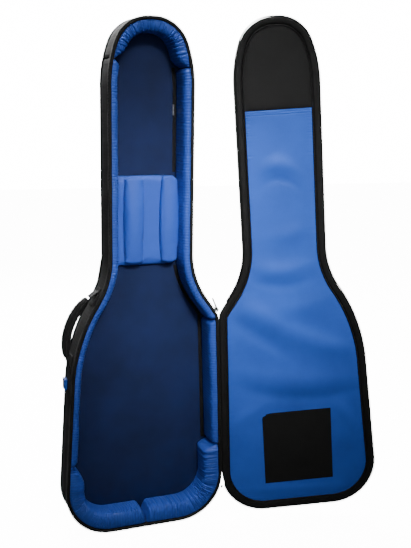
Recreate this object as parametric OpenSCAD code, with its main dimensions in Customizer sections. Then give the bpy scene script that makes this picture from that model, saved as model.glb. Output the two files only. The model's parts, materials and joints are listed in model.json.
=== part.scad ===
// Padded gig bag for a long scale bass guitar, standing open on its base.
// A foam tray and a foam lid share one outline, are joined by a fabric hinge down
// the right side, and close with a zip round the rest of the rim.
// X is across the bag, Y is into its depth (the opening faces -Y), Z is up its length.

/* [Outline] */
// Overall length of the shell above its rubber base
shell_len = 1247; // [1150:1:1300]
// Half width at the base, opening side, before the corner is rounded
free_half = 221; // [190:1:240]
// Half width at the base, hinge side, before the corner is rounded
hinge_half = 196; // [180:1:215]
// Half width at the top of the hinge
hinge_top_half = 174; // [150:1:190]
// Height of the hinge side shoulder corner
hinge_top_z = 540; // [480:1:570]
// Half width at the opening side shoulder
shoulder_half = 191; // [160:1:200]
// Height of the opening side shoulder
shoulder_z = 496; // [440:1:520]
// Half width of the neck and head stretch
neck_half = 103; // [85:1:120]
// Height of the waist where the shoulders meet the neck stretch
waist_z = 640; // [600:1:680]
// Radius of the bottom corners
base_radius = 112; // [60:1:120]

/* [Depth] */
// Depth of the tray from rim to back
tray_depth = 84; // [70:1:110]
// Thickness of the padded lid
lid_thick = 20; // [14:1:30]
// Angle the lid is swung open from shut
open_angle = 164; // [90:1:179]

/* [Padding] */
// Thickness of the side gusset
wall = 6; // [4:0.5:9]
// Thickness of the padded back panel
back_thick = 8; // [6:1:12]
// Thickness of the floor pad
floor_thick = 7; // [5:1:12]
// Thickness of the bolsters down the two sides
side_bolster = 17; // [12:1:24]
// Thickness of the arched bolster round the head
head_bolster_thick = 26; // [18:1:34]
// Thickness of the bolsters along the bottom
base_bolster = 38; // [26:1:46]

/* [Lining and pockets] */
// Width of the black frame round the lid lining
frame_band = 19; // [12:1:26]
// Height at which the head pad meets the blue lining
head_pad_z = 1035; // [960:1:1100]
// Width and height of the bridge scuff patch
patch_size = [180, 194]; // [100:1:220]
// Thickness of a closed, empty pocket
pocket_thick = 9; // [6:1:14]

/* [Hardware] */
// Length of a zip slider body
slider_len = 15; // [12:1:18]
// Length of a zip pull tab
pull_len = 30; // [20:1:40]
// Thickness of the rubber base plate
base_plate = 3; // [2:0.5:5]

/* [Hidden] */

black_nylon = [0.09, 0.09, 0.10];
black_trim = [0.05, 0.05, 0.05];
royal_blue = [0.15, 0.33, 0.72];
gunmetal = [0.42, 0.43, 0.45];
label_white = [0.92, 0.92, 0.92];

rim_y = -tray_depth / 2;
back_y = tray_depth / 2;
floor_y = back_y - back_thick - floor_thick; // face of the floor pad
top_z = base_plate + shell_len;
gap = 0.8; // between the tray rim and the shut lid
lid_y = rim_y - gap; // inner face of the shut lid
lid_out_y = lid_y - lid_thick; // outer face of the shut lid
skin = 4; // lining layers on the lid's inner face
far = 2000;

// Outline corners, anticlockwise seen from the opening: x, z and the radius of the corner
corners = [
    [-free_half, base_plate, base_radius],
    [hinge_half, base_plate, base_radius],
    [hinge_top_half, hinge_top_z, 24],
    [neck_half, waist_z, 200],
    [neck_half, 1143, 290],
    [67, top_z, 85],
    [-67, top_z, 85],
    [-neck_half, 1143, 290],
    [-neck_half, waist_z, 200],
    [-shoulder_half, shoulder_z, 415]
];
arc_step = 11; // largest turn, in degrees, of one facet of a corner

function heading(a, b) = [b.x - a.x, b.y - a.y] / norm([b.x - a.x, b.y - a.y]);
function inward(v) = [-v.y, v.x];
// Each corner becomes an arc; an inset slides the corner inwards and keeps the arcs concentric
function corner_arc(i, inset) =
    let (n = len(corners), c = corners[i])
    let (e0 = heading(corners[(i + n - 1) % n], c), e1 = heading(c, corners[(i + 1) % n]))
    let (turn = atan2(e0.x * e1.y - e0.y * e1.x, e0 * e1), side = sign(turn))
    let (shift = inset * (inward(e0) + inward(e1)) / (1 + inward(e0) * inward(e1)))
    let (r = max(c.z - inset * side, 0.5), middle = [c.x, c.y] + shift)
    let (centre = middle - e0 * r * tan(abs(turn) / 2) + inward(e0) * r * side)
    let (start = atan2(-inward(e0).y * side, -inward(e0).x * side), k = ceil(abs(turn) / arc_step))
    [for (j = [0:k]) centre + r * [cos(start + turn * j / k), sin(start + turn * j / k)]];
function outline(inset) = [for (i = [0:len(corners) - 1]) each corner_arc(i, inset)];

// A prism of a front view outline between two depths
module deep(y0, y1) {
    translate([0, y1, 0]) rotate([90, 0, 0]) linear_extrude(y1 - y0) children();
}
module shell_area(inset) {
    polygon(outline(inset));
}
module slab(inset, y0, y1) {
    deep(y0, y1) shell_area(inset);
}
module band_area(outer, inner) {
    difference() {
        shell_area(outer);
        shell_area(inner);
    }
}
// A box of the front view, used to cut a band into its sewn lengths
module window(x0, x1, z0, z1) {
    translate([x0, z0]) square([x1 - x0, z1 - z0]);
}
module band(outer, inner, y0, y1) {
    deep(y0, y1) band_area(outer, inner);
}
module band_part(outer, inner, y0, y1, x0, x1, z0, z1) {
    deep(y0, y1) intersection() {
        band_area(outer, inner);
        window(x0, x1, z0, z1);
    }
}
module rounded_rect(w, h, r) {
    union() {
        square([w - 2 * r, h], center = true);
        square([w, h - 2 * r], center = true);
        for (x = [-1, 1], z = [-1, 1]) translate([x * (w / 2 - r), z * (h / 2 - r)]) circle(r, $fn = 24);
    }
}
// The rim of a panel, rounded over on one side: a quarter-round profile carried along the outline
module rounded_rim(inset, y_flat, y_round, round_r) {
    steps = 3;
    out = sign(y_round - y_flat);
    lap = 2; // overlaps the flat middle of the panel
    arc = [for (j = [0:steps]) [round_r * (1 - cos(90 * j / steps)), y_round - out * round_r
        + out * round_r * sin(90 * j / steps)]];
    profile = concat([[0, y_flat]], arc, [[round_r + lap, y_round], [round_r + lap, y_flat]]);
    rows = [for (p = profile) outline(inset + p.x)];
    n = len(rows[0]);
    m = len(rows);
    points = [for (j = [0:m - 1]) for (p = rows[j]) [p.x, profile[j].y, p.y]];
    faces = [for (j = [0:m - 1], i = [0:n - 1]) let (k = (j + 1) % m, h = (i + 1) % n)
        out > 0 ? [j * n + i, j * n + h, k * n + h, k * n + i] : [j * n + i, k * n + i, k * n + h, j * n + h]];
    polyhedron(points, faces);
}
module soft_slab(inset, y_flat, y_round, round_r) {
    rounded_rim(inset, y_flat, y_round, round_r);
    slab(inset + round_r + 1, min(y_flat, y_round), max(y_flat, y_round));
}

// Tray shell ---------------------------------------------------------------

seam_head_left = 1157; // heights at which the gusset and the bolsters are joined
seam_head_right = 1142;
seam_hinge_top = 528;
seam_base_left = 184;
seam_base_right = 196;
corner_top = base_plate + base_radius;

module back_panel() {
    color(black_nylon) soft_slab(0, back_y - back_thick, back_y, 6);
}
module floor_pad() {
    color(royal_blue) slab(wall, floor_y, back_y - back_thick);
}
// Black tape over the seam where the treble side wall meets the floor, in lengths that stop at the neck rest
module floor_binding() {
    inner = wall + side_bolster;
    color(black_trim) {
        band_part(inner + 0.3, inner + 8, floor_y - 1.5, floor_y, 0, far, rest_z[1] + 2, seam_head_right);
        band_part(inner + 0.3, inner + 8, floor_y - 1.5, floor_y, 0, far, seam_hinge_top, rest_z[0] - 2);
        band_part(inner + 0.3, inner + 8, floor_y - 1.5, floor_y, 0, far, seam_base_right, seam_hinge_top);
    }
}
module gusset(x0, x1, z0, z1) {
    band_part(0, wall, rim_y + 2, back_y - back_thick, x0, x1, z0, z1);
}
module gusset_base() {
    color(black_nylon) gusset(-far, far, 0, corner_top);
}
module gusset_bass_side() {
    color(black_nylon) gusset(-far, 0, corner_top, seam_head_left);
}
module gusset_head() {
    color(black_nylon) {
        gusset(-far, 0, seam_head_left, far);
        gusset(0, far, seam_head_right, far);
    }
}
module gusset_treble_side() {
    color(black_nylon) gusset(0, far, seam_hinge_top, seam_head_right);
}
module gusset_hinge_side() {
    color(black_nylon) gusset(0, far, corner_top, seam_hinge_top);
}
module rim_binding() {
    color(black_trim) band(0, wall, rim_y, rim_y + 2);
}
// The zip runs round everything but the hinge, where tray and lid lie edge to edge
zip_free_z = [80, 548];
module zip_run(outer, y0, y1) {
    deep(y0, y1) difference() {
        band_area(outer, 0);
        window(0, far, zip_free_z[0], zip_free_z[1]);
    }
}
tape_width = 15;
tape_thick = 1;
chain_width = 3;
chain_thick = 3;
module tray_zip_tape() {
    color(black_trim) zip_run(-tape_thick, rim_y + chain_width, rim_y + tape_width);
}
module tray_zip_chain() {
    color(black_trim) zip_run(-chain_thick, rim_y, rim_y + chain_width);
}

// A frame that puts Z along the zip and X out of the gusset, at a point of the rim
shoulder_turn = atan2(hinge_top_half - neck_half, waist_z - hinge_top_z);
shoulder_dir = [-sin(shoulder_turn), 0, cos(shoulder_turn)];
hinge_lean = atan2(hinge_half - hinge_top_half, hinge_top_z - base_plate);
module on_shoulder(along) {
    translate([hinge_top_half, rim_y - gap / 2, hinge_top_z] + along * shoulder_dir)
        rotate([0, -shoulder_turn, 0]) children();
}
// Centre of the rounded corner at the foot of the hinge
corner_run = base_radius * tan((90 - hinge_lean) / 2);
corner_x = hinge_half - corner_run;
module on_corner(angle) {
    translate([corner_x, rim_y - gap / 2, corner_top]) rotate([0, angle, 0])
        translate([base_radius, 0, 0]) children();
}
slider_rest = 18; // the upper slider's distance above the shoulder corner
stop_back = 7; // the tape clips stand this far behind the rim
clip = [3, 5, 6];
module zip_end_stops() {
    color(gunmetal) {
        on_shoulder(12) translate([tape_thick, stop_back, 0]) cube(clip);
        on_corner(22) translate([tape_thick, stop_back, 0]) cube(clip);
    }
}
module base_plate_rubber() {
    width = 196;
    depth = tray_depth - 10;
    step = [15, 1.2]; // the front edge is cut thinner where it passes under the zip tape
    centre = (corner_x - free_half + base_radius) / 2;
    groove = 2;
    color(black_trim) difference() {
        translate([centre, 0, 0]) linear_extrude(base_plate) rounded_rect(width, depth, 12);
        translate([centre - width, rim_y, base_plate - step.y]) cube([2 * width, step.x + 1, base_plate]);
        for (i = [-4:4]) translate([centre + i * 20, 0, 0])
            cube([groove, depth + 1, base_plate / 2], center = true);
    }
}

// Bolsters ------------------------------------------------------------------

module bolster(thick, x0, x1, z0, z1) {
    band_part(wall, wall + thick, rim_y + 1, floor_y, x0, x1, z0, z1);
}
module bolster_head() {
    color(royal_blue) {
        bolster(head_bolster_thick, -far, 0, seam_head_left, far);
        bolster(head_bolster_thick, 0, far, seam_head_right, far);
    }
}
module bolster_bass_side() {
    color(royal_blue) bolster(side_bolster, -far, 0, seam_base_left, seam_head_left);
}
module bolster_treble_upper() {
    color(royal_blue) bolster(side_bolster, 0, far, seam_hinge_top, seam_head_right);
}
module bolster_treble_lower() {
    color(royal_blue) bolster(side_bolster, 0, far, seam_base_right, seam_hinge_top);
}
module bolster_base_left() {
    color(royal_blue) bolster(base_bolster, -far, 0, 0, seam_base_left);
}
module bolster_base_right() {
    color(royal_blue) bolster(base_bolster, 0, far, 0, seam_base_right);
}

// Neck rest -----------------------------------------------------------------

rest_z = [664, 892]; // foot and top of the neck rest
rest_base = 15; // thickness of the block under the two pads
rest_pad = 18; // height of the pads over the block
channel = [-8, 36]; // the neck lies between these
module neck_rest_base() {
    half = neck_half - wall - side_bolster;
    color(royal_blue) translate([0, 0, (rest_z[0] + rest_z[1]) / 2])
        deep(floor_y - rest_base, floor_y) rounded_rect(2 * half - 1, rest_z[1] - rest_z[0], 14);
}
module rest_block(x0, x1, z0, z1) {
    color(royal_blue) translate([(x0 + x1) / 2, 0, (z0 + z1) / 2])
        deep(floor_y - rest_base - rest_pad, floor_y - rest_base) rounded_rect(x1 - x0, z1 - z0, 8);
}
module neck_rest_left_pad() {
    rest_block(-56, channel[0], rest_z[0] + 14, rest_z[1] - 10);
}
module neck_rest_right_pad() {
    rest_block(channel[1], 78, rest_z[0] + 14, rest_z[1] - 10);
}
module care_label() {
    label = [26, 9]; // height, standing out of the floor seam
    color(label_white) translate([neck_half - wall - side_bolster - 8.6, floor_y - 1.5 - label[1], 1030])
        cube([0.6, label[1], label[0]]);
}

// Side handle ---------------------------------------------------------------

// The two ends of the handle, just off the gusset, and the rise of its arc
handle_foot = [-199, 440];
handle_head = [-137, 606];
handle_rise = 27;
handle_chord = norm(handle_head - handle_foot);
handle_r = (handle_chord * handle_chord / 4 + handle_rise * handle_rise) / (2 * handle_rise);
handle_half_turn = asin(handle_chord / 2 / handle_r);
handle_tilt = atan2(handle_head.x - handle_foot.x, handle_head.y - handle_foot.y);
// Z along the chord from foot to head, X out of the bag, the arc's centre at the origin
module on_handle() {
    mid = (handle_foot + handle_head) / 2;
    translate([mid.x, 0, mid.y]) rotate([0, handle_tilt, 0]) mirror([1, 0, 0])
        translate([handle_rise - handle_r, 0, 0]) rotate([90, 0, 0]) children();
}
// A stretch of the arc from one turn to another, both measured from its middle
module handle_arc(from, to) {
    on_handle() rotate([0, 0, from]) rotate_extrude(angle = to - from, $fn = 96)
        translate([handle_r, 0]) children();
}
grip_thick = 24;
grip_width = 36;
webbing_width = 26;
webbing_thick = 2.2;
handle_free = acos(cos(handle_half_turn) + 8.5 / handle_r); // the swinging webbing ends here
handle_sewn = acos(cos(handle_half_turn) + 5.5 / handle_r); // and the sewn ends begin here
module side_handle_grip() {
    color(black_nylon) handle_arc(-handle_half_turn * 0.66, handle_half_turn * 0.66) difference() {
        rounded_rect(grip_thick, grip_width, 11);
        square([webbing_thick + 0.2, webbing_width + 0.4], center = true);
    }
}
module side_handle_webbing() {
    color(black_trim) handle_arc(-handle_free, handle_free) square([webbing_thick, webbing_width], center = true);
}
// Stitched patches that take the two sewn ends of the webbing into the gusset
patch_proud = 4;
module handle_patch(at, angle) {
    intersection() {
        translate([at.x, 0, at.y]) rotate([0, angle, 0]) cube([40, grip_width, 44], center = true);
        slab(-patch_proud, -grip_width / 2, grip_width / 2);
    }
}
module side_handle_patches() {
    sewn_end = handle_half_turn + 6;
    color(black_nylon) difference() {
        union() {
            handle_patch(handle_foot, 6);
            handle_patch(handle_head, 30);
            handle_arc(-sewn_end, -handle_sewn) square([webbing_thick, webbing_width], center = true);
            handle_arc(handle_sewn, sewn_end) square([webbing_thick, webbing_width], center = true);
        }
        slab(-0.05, -grip_width, grip_width);
    }
}
module side_tab() {
    tab = [10, 22, 26];
    color(royal_blue) difference() {
        translate([-207, 4, 372]) cube(tab);
        slab(-0.05, 0, 30);
    }
}

// Carrying gear on the back --------------------------------------------------

haul_z = [1010, 1150];
haul_rise = 26;
haul_width = 26;
haul_thick = 4.6;
haul_chord = haul_z[1] - haul_z[0];
haul_r = (haul_chord * haul_chord / 4 + haul_rise * haul_rise) / (2 * haul_rise);
haul_half_turn = asin(haul_chord / 2 / haul_r);
haul_free = acos(cos(haul_half_turn) + 9 / haul_r); // the swinging webbing ends here
haul_sewn = acos(cos(haul_half_turn) + 5 / haul_r); // and the sewn ends begin here
haul_foot_y = back_y + 6;
module haul_arc(from, to) {
    translate([0, haul_foot_y + haul_rise - haul_r, (haul_z[0] + haul_z[1]) / 2])
        rotate([90, 0, 90]) rotate([0, 0, from]) rotate_extrude(angle = to - from, $fn = 96)
        translate([haul_r, 0]) rounded_rect(haul_thick, haul_width, 2);
}
module haul_handle() {
    color(black_trim) haul_arc(-haul_free, haul_free);
}
module haul_handle_patches() {
    sewn_end = haul_half_turn + 7;
    color(black_nylon) {
        for (z = haul_z) translate([0, 0, z]) deep(back_y, back_y + 2.6) rounded_rect(44, 36, 4);
        difference() {
            union() {
                haul_arc(-sewn_end, -haul_sewn);
                haul_arc(haul_sewn, sewn_end);
            }
            translate([0, back_y - 18, 1080]) cube([60, 40, 300], center = true);
        }
    }
}

// A flat ribbon along a quadratic curve in the front view
function curve(a, b, c, t) = a * (1 - t) * (1 - t) + b * 2 * t * (1 - t) + c * t * t;
function slope(a, b, c, t) = let (d = (b - a) * (1 - t) + (c - b) * t) d / norm(d);
module ribbon(a, b, c, w0, w1, steps) {
    left = [for (i = [0:steps]) let (t = i / steps)
        curve(a, b, c, t) + inward(slope(a, b, c, t)) * (w0 + (w1 - w0) * t) / 2];
    right = [for (i = [steps:-1:0]) let (t = i / steps)
        curve(a, b, c, t) - inward(slope(a, b, c, t)) * (w0 + (w1 - w0) * t) / 2];
    polygon(concat(left, right));
}
strap_y = back_y + 0.4;
strap_thick = 11;
strap_top = [34, 922];
strap_bend = [58, 760];
strap_foot = [92, 560];
ring_at = [146, 170];
module strap_yoke() {
    color(black_nylon) deep(back_y, back_y + 3) polygon([[-78, 930], [78, 930], [50, 968], [-50, 968]]);
}
// One padded strap: a ribbon with a half-round foot
module shoulder_strap() {
    steps = 8;
    half = [for (i = [0:steps]) 29 + 4 * i / steps];
    spine = [for (i = [0:steps]) curve(strap_top, strap_bend, strap_foot, i / steps)];
    side = [for (i = [0:steps]) inward(slope(strap_top, strap_bend, strap_foot, i / steps)) * half[i]];
    last = side[steps];
    tip = [for (a = [15:15:165]) strap_foot + last * cos(a) - inward(last) * sin(a)];
    deep(strap_y, strap_y + strap_thick) polygon(concat([for (i = [0:steps]) spine[i] + side[i]], tip,
        [for (i = [steps:-1:0]) spine[i] - side[i]]));
}
module shoulder_strap_left() {
    color(black_nylon) mirror([1, 0, 0]) shoulder_strap();
}
module shoulder_strap_right() {
    color(black_nylon) shoulder_strap();
}
webbing_top = [98, 524];
webbing_dir = (ring_at - webbing_top) / norm(ring_at - webbing_top);
module strap_webbing() {
    deep(strap_y + 3, strap_y + 5) ribbon(webbing_top, (webbing_top + ring_at) / 2, ring_at + [0, 18.5], 25, 25, 1);
}
module strap_webbing_left() {
    color(black_trim) mirror([1, 0, 0]) strap_webbing();
}
module strap_webbing_right() {
    color(black_trim) strap_webbing();
}
// A three-bar slide that runs on the webbing
adjuster_drop = 30; // its distance below the top of the webbing
module adjuster() {
    at = webbing_top + adjuster_drop * webbing_dir;
    translate([at.x, 0, at.y]) rotate([0, atan2(webbing_dir.x, webbing_dir.y), 0])
        deep(strap_y + 5.4, strap_y + 8.6) difference() {
            rounded_rect(34, 30, 4);
            for (z = [-7, 7]) translate([0, z]) square([26, 7], center = true);
        }
}
module strap_adjuster_left() {
    color(black_trim) mirror([1, 0, 0]) adjuster();
}
module strap_adjuster_right() {
    color(black_trim) adjuster();
}
ring_wire = 2;
ring_half = 15;
// A wire D ring lying flat: a half circle over a straight bar
module d_ring() {
    translate([ring_at.x, strap_y + 4, ring_at.y]) rotate([90, 0, 0]) {
        rotate_extrude(angle = 180, $fn = 48) translate([ring_half, 0]) circle(ring_wire, $fn = 16);
        rotate([0, 90, 0]) cylinder(h = 2 * ring_half, r = ring_wire, center = true, $fn = 16);
        for (x = [-ring_half, ring_half]) translate([x, 0, 0]) sphere(ring_wire, $fn = 16);
    }
}
module strap_rings() {
    color(gunmetal) {
        d_ring();
        mirror([1, 0, 0]) d_ring();
    }
}
// A webbing loop round the bar of the ring, sewn to the back panel below it
module ring_anchor() {
    translate([ring_at.x, 0, ring_at.y]) {
        translate([0, 0, -30]) deep(back_y, back_y + 2) rounded_rect(40, 50, 4);
        difference() {
            translate([0, strap_y + 4, 0]) rotate([0, 90, 0]) cylinder(h = 25, r = 4, center = true, $fn = 24);
            translate([0, strap_y + 4, 0]) rotate([0, 90, 0])
                cylinder(h = 26, r = ring_wire + 0.25, center = true, $fn = 24);
        }
    }
}
module strap_anchors() {
    color(black_trim) {
        ring_anchor();
        mirror([1, 0, 0]) ring_anchor();
    }
}

// Lid, drawn shut and swung open about the hinge ------------------------------

hinge_foot = [hinge_half, rim_y - gap / 2, base_plate];
hinge_dir = [-sin(hinge_lean), 0, cos(hinge_lean)];
module swung_open() {
    translate(hinge_foot) rotate(a = open_angle, v = hinge_dir) translate(-hinge_foot) children();
}
lid_inset = 1.6; // keeps the lid's edge clear of the gusset when it is laid flat
module hinge_fabric() {
    color(black_nylon) band_part(-0.9, 0, rim_y, rim_y + 16, 0, far, corner_top + 4, seam_hinge_top);
}
module lid_shell() {
    color(black_nylon) swung_open() soft_slab(lid_inset, lid_y - skin, lid_out_y, 8);
}
module lid_frame_band() {
    color(black_nylon) swung_open() band(lid_inset, frame_band, lid_y - skin, lid_y);
}
piping = 3.4;
module lid_piping() {
    color(black_trim) swung_open() band(frame_band, frame_band + piping, lid_y - skin, lid_y);
}
module lid_lining() {
    color(royal_blue) swung_open() deep(lid_y - skin, lid_y - 1.4) intersection() {
        shell_area(frame_band + piping);
        window(-far, far, 0, head_pad_z);
    }
}
module lid_head_pad() {
    color(black_nylon) swung_open() deep(lid_y - skin, lid_y - 0.6) intersection() {
        shell_area(frame_band + piping);
        window(-far, far, head_pad_z, far);
    }
}
patch_centre = [-12, 172];
module scuff_patch() {
    color(black_trim) swung_open() translate([patch_centre.x, 0, patch_centre.y])
        deep(lid_y - 1.4, lid_y - 0.2) square(patch_size, center = true);
}
module lid_zip_run(outer, y0, y1) {
    deep(y0, y1) difference() {
        band_area(outer, lid_inset);
        window(0, far, zip_free_z[0], lid_free_top);
    }
}
lid_free_top = 572; // above the parked slider
foot_x = [-110, 85]; // the straight length of zip that the lid can stand on
module lid_zip_tape() {
    color(black_trim) swung_open() lid_zip_run(-tape_thick, lid_y - tape_width + 3, lid_y - chain_width);
}
module lid_zip_chain() {
    color(black_trim) swung_open() difference() {
        lid_zip_run(-chain_thick, lid_y - chain_width, lid_y);
        translate([foot_x[0], lid_y - 10, -10]) cube([foot_x[1] - foot_x[0], 20, 30]);
    }
}
module lid_zip_foot() {
    color(black_trim) swung_open() translate([foot_x[0], lid_y - chain_width, base_plate - chain_thick])
        cube([foot_x[1] - foot_x[0], chain_width, chain_thick + lid_inset]);
}

// Pockets on the outside of the lid -------------------------------------------

large_pocket_z = [64, 452];
small_pocket_z = [690, 1010];
zip_edge = 10; // the pocket zip lies this far below the pocket's top edge
module pocket(z_range, inset) {
    deep(lid_out_y - pocket_thick, lid_out_y) intersection() {
        shell_area(inset);
        window(-far, far, z_range[0], z_range[1]);
    }
}
module large_pocket() {
    color(black_nylon) swung_open() pocket(large_pocket_z, 30);
}
module small_pocket() {
    color(black_nylon) swung_open() pocket(small_pocket_z, 22);
}
module pocket_zip(z_range, length) {
    translate([0, lid_out_y - pocket_thick, z_range[1] - zip_edge]) {
        translate([-length / 2, -1, -8]) cube([length, 1, 16]);
        translate([-length / 2, -2.4, -2.5]) cube([length, 1.4, 5]);
    }
}
large_zip_len = 290;
small_zip_len = 146;
module large_pocket_zip() {
    color(black_trim) swung_open() pocket_zip(large_pocket_z, large_zip_len);
}
module small_pocket_zip() {
    color(black_trim) swung_open() pocket_zip(small_pocket_z, small_zip_len);
}

// Zip sliders ------------------------------------------------------------------

// The body lies over the chain, X out of the bag and Z along the zip: a plate that
// tapers to its tail, under a bridge that holds the pull
chain_clear = 0.5;
plate_thick = 1.4;
bridge_up = 3.2;
bridge_thick = 1.3;
pin_r = 0.9;
module slider_plate(width) {
    rotate([0, 90, 0]) linear_extrude(plate_thick) polygon([
        [-slider_len / 2, -width * 0.36], [-slider_len / 2, width * 0.36], [-1, width / 2],
        [slider_len / 2, width * 0.3], [slider_len / 2, -width * 0.3], [-1, -width / 2]]);
}
module slider_body(plate_x, width) {
    leg = 1.8;
    span = 11; // outside length of the bridge
    color(gunmetal) {
        translate([plate_x, 0, 0]) slider_plate(width);
        translate([plate_x + plate_thick, 0, 0]) difference() {
            translate([-0.2, -2, -span / 2]) cube([bridge_up + bridge_thick + 0.2, 4, span]);
            translate([0, -3, -span / 2 + leg]) cube([bridge_up, 6, span - 2 * leg]);
        }
    }
}
// The pull's crossbar lies under the bridge, which passes through its eye, and it swings about Y
eye_len = 7.2;
module pull_tab(plate_x, hang) {
    color(gunmetal) translate([plate_x + plate_thick + bridge_up / 2, 0, 0]) rotate([0, hang, 0]) {
        difference() {
            translate([-pin_r, -5.5, -pin_r]) cube([2 * pin_r, 11, eye_len + 3 + pin_r]);
            translate([-3, -2.6, pin_r]) cube([6, 5.2, eye_len - pin_r]);
        }
        translate([-pin_r, -4, eye_len + 3]) cube([2 * pin_r, 8, pull_len - eye_len - 3]);
    }
}
slider_x = chain_thick + chain_clear;
slider_width = 12;
module upper_slider() {
    on_shoulder(slider_rest) slider_body(slider_x, slider_width);
}
module upper_pull() {
    on_shoulder(slider_rest) pull_tab(slider_x, 12);
}
// Turns the slider's frame so that the zip runs along X and the bag's outside is -Y
module on_pocket(z_range, x) {
    swung_open() translate([x, lid_out_y - pocket_thick, z_range[1] - zip_edge])
        rotate([0, 0, -90]) rotate([90, 0, 0]) children();
}
pocket_plate = 2.4 + chain_clear;
large_slider_x = 134; // both pockets are zipped shut, with the sliders at the hinge side
small_slider_x = 62;
pocket_slider_width = 9;
module large_pocket_slider() {
    on_pocket(large_pocket_z, large_slider_x) slider_body(pocket_plate, pocket_slider_width);
}
module large_pocket_pull() {
    on_pocket(large_pocket_z, large_slider_x) pull_tab(pocket_plate, 12);
}
module small_pocket_slider() {
    on_pocket(small_pocket_z, small_slider_x) slider_body(pocket_plate, pocket_slider_width);
}
module small_pocket_pull() {
    on_pocket(small_pocket_z, small_slider_x) pull_tab(pocket_plate, 12);
}

back_panel();
floor_pad();
floor_binding();
gusset_base();
gusset_bass_side();
gusset_head();
gusset_treble_side();
gusset_hinge_side();
rim_binding();
tray_zip_tape();
tray_zip_chain();
zip_end_stops();
base_plate_rubber();
bolster_head();
bolster_bass_side();
bolster_treble_upper();
bolster_treble_lower();
bolster_base_left();
bolster_base_right();
neck_rest_base();
neck_rest_left_pad();
neck_rest_right_pad();
care_label();
side_tab();
side_handle_patches();
side_handle_webbing();
side_handle_grip();
haul_handle_patches();
haul_handle();
strap_yoke();
shoulder_strap_left();
shoulder_strap_right();
strap_webbing_left();
strap_webbing_right();
strap_adjuster_left();
strap_adjuster_right();
strap_rings();
strap_anchors();
hinge_fabric();
lid_shell();
lid_frame_band();
lid_piping();
lid_lining();
lid_head_pad();
scuff_patch();
lid_zip_tape();
lid_zip_chain();
lid_zip_foot();
large_pocket();
large_pocket_zip();
small_pocket();
small_pocket_zip();
upper_slider();
upper_pull();
large_pocket_slider();
large_pocket_pull();
small_pocket_slider();
small_pocket_pull();
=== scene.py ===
import json
import math

import bmesh
import bpy
import numpy as np
from mathutils import Matrix, Vector


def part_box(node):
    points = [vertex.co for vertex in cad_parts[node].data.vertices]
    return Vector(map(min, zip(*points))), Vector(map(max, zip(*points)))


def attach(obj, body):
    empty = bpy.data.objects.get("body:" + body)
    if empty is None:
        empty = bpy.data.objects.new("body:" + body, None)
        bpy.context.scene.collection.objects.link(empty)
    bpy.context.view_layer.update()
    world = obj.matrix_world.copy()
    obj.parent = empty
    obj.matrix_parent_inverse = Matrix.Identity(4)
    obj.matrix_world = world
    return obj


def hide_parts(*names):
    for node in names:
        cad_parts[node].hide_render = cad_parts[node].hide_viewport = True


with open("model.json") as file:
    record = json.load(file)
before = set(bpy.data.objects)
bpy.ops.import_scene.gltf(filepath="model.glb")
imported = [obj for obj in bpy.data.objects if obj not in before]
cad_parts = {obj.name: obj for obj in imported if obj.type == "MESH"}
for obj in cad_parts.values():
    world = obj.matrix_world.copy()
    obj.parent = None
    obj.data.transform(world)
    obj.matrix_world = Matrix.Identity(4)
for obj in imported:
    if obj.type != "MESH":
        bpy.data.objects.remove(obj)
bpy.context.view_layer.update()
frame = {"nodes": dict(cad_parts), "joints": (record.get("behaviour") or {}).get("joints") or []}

# the outline that tray and lid share, in metres: x, z and radius of each corner,
# anticlockwise from the front
bag = {
    "corners": [(-.221, .003, .112), (.196, .003, .112), (.174, .540, .024), (.103, .640, .200),
                (.103, 1.143, .290), (.067, 1.250, .085), (-.067, 1.250, .085), (-.103, 1.143, .290),
                (-.103, .640, .200), (-.191, .496, .415)],
    "wall": .006,       # thickness of the gusset
    "samples": 3000,    # points along the outline
}
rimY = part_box("rim_binding")[0][1]
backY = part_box("back_panel")[1][1]
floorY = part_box("floor_pad")[0][1]
lidHinge = next(j for j in frame["joints"] if j["name"] == "lid_hinge")


def filletedOutline(corners, samples):
    # Straight sides joined by arcs tangent to both, walked at an even pace. Returns the path's
    # points, its inward normals and the distance walked, starting in the middle of the base.
    v = np.array([c[:2] for c in corners])
    pts = []
    for i, (x, z, r) in enumerate(corners):
        e0 = v[i] - v[i - 1]
        e1 = v[(i + 1) % len(v)] - v[i]
        e0, e1 = e0 / np.linalg.norm(e0), e1 / np.linalg.norm(e1)
        turn = math.atan2(e0[0] * e1[1] - e0[1] * e1[0], e0 @ e1)
        side = math.copysign(1, turn)
        n0 = np.array([-e0[1], e0[0]])
        centre = v[i] - e0 * r * math.tan(abs(turn) / 2) + n0 * r * side
        start = math.atan2(-n0[1] * side, -n0[0] * side)
        a = start + turn * np.linspace(0, 1, 60)
        pts.append(centre + r * np.stack([np.cos(a), np.sin(a)], 1))
    walk = np.vstack(pts)
    first = (pts[0][-1] + pts[1][0]) / 2
    walk = np.vstack([first, np.roll(walk, -60, 0), first])
    length = np.r_[0, np.cumsum(np.linalg.norm(np.diff(walk, axis=0), axis=1))]
    s = np.linspace(0, length[-1], samples)
    p = np.stack([np.interp(s, length, walk[:, 0]), np.interp(s, length, walk[:, 1])], 1)
    t = np.gradient(p, axis=0)
    t[0] = t[-1] = (1, 0)
    t /= np.linalg.norm(t, axis=1)[:, None]
    return p, np.stack([-t[:, 1], t[:, 0]], 1), s


pathP, pathN, pathS = filletedOutline(bag["corners"], bag["samples"])
perimeter = pathS[-1]
topIndex = int(np.argmax(pathP[:, 1]))


def along(side, z):
    # distance walked at which the path reaches height z on the hinge (1) or free (-1) side
    if side > 0:
        return float(np.interp(z, pathP[:topIndex, 1], pathS[:topIndex]))
    return float(np.interp(z, pathP[topIndex:, 1][::-1], pathS[topIndex:][::-1]))


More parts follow.
